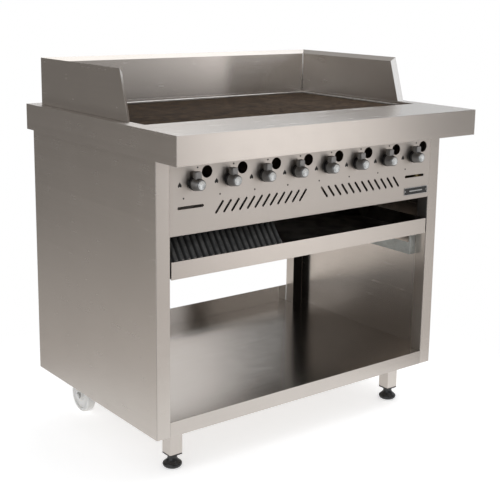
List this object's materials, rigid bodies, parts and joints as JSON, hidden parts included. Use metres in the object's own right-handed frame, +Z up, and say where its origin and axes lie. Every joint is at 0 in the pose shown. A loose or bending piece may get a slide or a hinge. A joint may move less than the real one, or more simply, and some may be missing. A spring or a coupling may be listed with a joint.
{
  "type": "gas charbroiler grill",
  "caption": "Freestanding stainless gas charbroiler: cast grates, three-sided splash guard, control knobs, sliding drip tray and an open lower shelf on feet and castors.",
  "frame": {"origin": "on the floor under the middle of the worktop", "axes": "+X to the cook's right, +Y to the back, +Z up; the control panel faces -Y"},
  "size_m": [1.009, 0.764, 1.03],
  "materials": {
    "stainless_body": "brushed stainless steel, grain along each sheet",
    "stainless_shelf": "bright stainless sheet, slightly burnished",
    "galvanised": "galvanised steel sheet",
    "cast_iron": "seasoned cast iron, dark brown",
    "radiant_iron": "heat-stained steel plate",
    "burner_steel": "heat-tinted stainless tube",
    "brass_train": "brass and painted pipe",
    "knob_metal": "dark satin metal with a bright cap",
    "bright_steel": "zinc-plated steel",
    "black_plastic": "glossy black plastic",
    "badge_black": "black anodised blank plate",
    "nylon": "pale nylon"
  },
  "bodies": {
    "body": {"frame": "stainless_body", "side_panel_left": "stainless_body", "side_panel_right": "stainless_body", "back_panel": "stainless_body", "worktop": "stainless_body", "splash_guard": "stainless_body", "control_panel": "stainless_body", "firebox": "stainless_body", "shelf": "stainless_shelf", "tray_runner_left": "galvanised", "tray_runner_right": "galvanised", "castor_bracket_left": "galvanised", "castor_bracket_right": "galvanised", "radiant_1": "radiant_iron", "radiant_2": "radiant_iron", "radiant_3": "radiant_iron", "radiant_4": "radiant_iron", "radiant_5": "radiant_iron", "radiant_6": "radiant_iron", "radiant_7": "radiant_iron", "radiant_8": "radiant_iron", "burner_1": "burner_steel", "burner_2": "burner_steel", "burner_3": "burner_steel", "burner_4": "burner_steel", "burner_5": "burner_steel", "burner_6": "burner_steel", "burner_7": "burner_steel", "burner_8": "burner_steel", "gas_manifold": "brass_train", "castor_axle_left": "bright_steel", "castor_axle_right": "bright_steel", "foot_plug_left": "black_plastic", "foot_plug_right": "black_plastic", "badge_plate": "badge_black"},
    "valve_1": {"valve_stem_1": "bright_steel"},
    "knob_1": {"knob_1": "knob_metal"},
    "valve_2": {"valve_stem_2": "bright_steel"},
    "knob_2": {"knob_2": "knob_metal"},
    "valve_3": {"valve_stem_3": "bright_steel"},
    "knob_3": {"knob_3": "knob_metal"},
    "valve_4": {"valve_stem_4": "bright_steel"},
    "knob_4": {"knob_4": "knob_metal"},
    "valve_5": {"valve_stem_5": "bright_steel"},
    "knob_5": {"knob_5": "knob_metal"},
    "valve_6": {"valve_stem_6": "bright_steel"},
    "knob_6": {"knob_6": "knob_metal"},
    "valve_7": {"valve_stem_7": "bright_steel"},
    "knob_7": {"knob_7": "knob_metal"},
    "valve_8": {"valve_stem_8": "bright_steel"},
    "knob_8": {"knob_8": "knob_metal"},
    "tray": {"drip_tray": "stainless_shelf"},
    "grate_1": {"grate_1": "cast_iron"},
    "grate_2": {"grate_2": "cast_iron"},
    "grate_3": {"grate_3": "cast_iron"},
    "grate_4": {"grate_4": "cast_iron"},
    "foot_left": {"foot_glide_left": "black_plastic"},
    "wheel_left": {"castor_wheel_left": "nylon"},
    "foot_right": {"foot_glide_right": "black_plastic"},
    "wheel_right": {"castor_wheel_right": "nylon"}
  },
  "joints": [
    {"name": "knob_1_push", "type": "slide", "parent": "body", "child": "valve_1", "axis": [0, 1, 0], "range_m": [0, 0.004], "stiffness_N_per_m": 600, "springref_m": -0.002},
    {"name": "knob_1_turn", "type": "hinge", "parent": "valve_1", "child": "knob_1", "pos_m": [-0.37905, -0.273, 0.7615], "axis": [0, -1, 0], "range_deg": [0, 135]},
    {"name": "knob_2_push", "type": "slide", "parent": "body", "child": "valve_2", "axis": [0, 1, 0], "range_m": [0, 0.004], "stiffness_N_per_m": 600, "springref_m": -0.002},
    {"name": "knob_2_turn", "type": "hinge", "parent": "valve_2", "child": "knob_2", "pos_m": [-0.27075, -0.273, 0.7615], "axis": [0, -1, 0], "range_deg": [0, 135]},
    {"name": "knob_3_push", "type": "slide", "parent": "body", "child": "valve_3", "axis": [0, 1, 0], "range_m": [0, 0.004], "stiffness_N_per_m": 600, "springref_m": -0.002},
    {"name": "knob_3_turn", "type": "hinge", "parent": "valve_3", "child": "knob_3", "pos_m": [-0.16245, -0.273, 0.7615], "axis": [0, -1, 0], "range_deg": [0, 135]},
    {"name": "knob_4_push", "type": "slide", "parent": "body", "child": "valve_4", "axis": [0, 1, 0], "range_m": [0, 0.004], "stiffness_N_per_m": 600, "springref_m": -0.002},
    {"name": "knob_4_turn", "type": "hinge", "parent": "valve_4", "child": "knob_4", "pos_m": [-0.05415, -0.273, 0.7615], "axis": [0, -1, 0], "range_deg": [0, 135]},
    {"name": "knob_5_push", "type": "slide", "parent": "body", "child": "valve_5", "axis": [0, 1, 0], "range_m": [0, 0.004], "stiffness_N_per_m": 600, "springref_m": -0.002},
    {"name": "knob_5_turn", "type": "hinge", "parent": "valve_5", "child": "knob_5", "pos_m": [0.05415, -0.273, 0.7615], "axis": [0, -1, 0], "range_deg": [0, 135]},
    {"name": "knob_6_push", "type": "slide", "parent": "body", "child": "valve_6", "axis": [0, 1, 0], "range_m": [0, 0.004], "stiffness_N_per_m": 600, "springref_m": -0.002},
    {"name": "knob_6_turn", "type": "hinge", "parent": "valve_6", "child": "knob_6", "pos_m": [0.16245, -0.273, 0.7615], "axis": [0, -1, 0], "range_deg": [0, 135]},
    {"name": "knob_7_push", "type": "slide", "parent": "body", "child": "valve_7", "axis": [0, 1, 0], "range_m": [0, 0.004], "stiffness_N_per_m": 600, "springref_m": -0.002},
    {"name": "knob_7_turn", "type": "hinge", "parent": "valve_7", "child": "knob_7", "pos_m": [0.27075, -0.273, 0.7615], "axis": [0, -1, 0], "range_deg": [0, 135]},
    {"name": "knob_8_push", "type": "slide", "parent": "body", "child": "valve_8", "axis": [0, 1, 0], "range_m": [0, 0.004], "stiffness_N_per_m": 600, "springref_m": -0.002},
    {"name": "knob_8_turn", "type": "hinge", "parent": "valve_8", "child": "knob_8", "pos_m": [0.37905, -0.273, 0.7615], "axis": [0, -1, 0], "range_deg": [0, 135]},
    {"name": "tray_slide", "type": "slide", "parent": "body", "child": "tray", "axis": [0, -1, 0], "range_m": [0, 0.42]},
    {"name": "grate_1_lift", "type": "slide", "parent": "body", "child": "grate_1", "axis": [0, 0, 1], "range_m": [0, 0.15]},
    {"name": "grate_2_lift", "type": "slide", "parent": "body", "child": "grate_2", "axis": [0, 0, 1], "range_m": [0, 0.15]},
    {"name": "grate_3_lift", "type": "slide", "parent": "body", "child": "grate_3", "axis": [0, 0, 1], "range_m": [0, 0.15]},
    {"name": "grate_4_lift", "type": "slide", "parent": "body", "child": "grate_4", "axis": [0, 0, 1], "range_m": [0, 0.15]},
    {"name": "foot_left_level", "type": "slide", "parent": "body", "child": "foot_left", "axis": [0, 0, -1], "range_m": [0, 0.012]},
    {"name": "wheel_left_spin", "type": "hinge", "parent": "body", "child": "wheel_left", "pos_m": [-0.405, 0.264, 0.05], "axis": [1, 0, 0], "continuous": true},
    {"name": "foot_right_level", "type": "slide", "parent": "body", "child": "foot_right", "axis": [0, 0, -1], "range_m": [0, 0.012]},
    {"name": "wheel_right_spin", "type": "hinge", "parent": "body", "child": "wheel_right", "pos_m": [0.405, 0.264, 0.05], "axis": [1, 0, 0], "continuous": true}
  ]
}
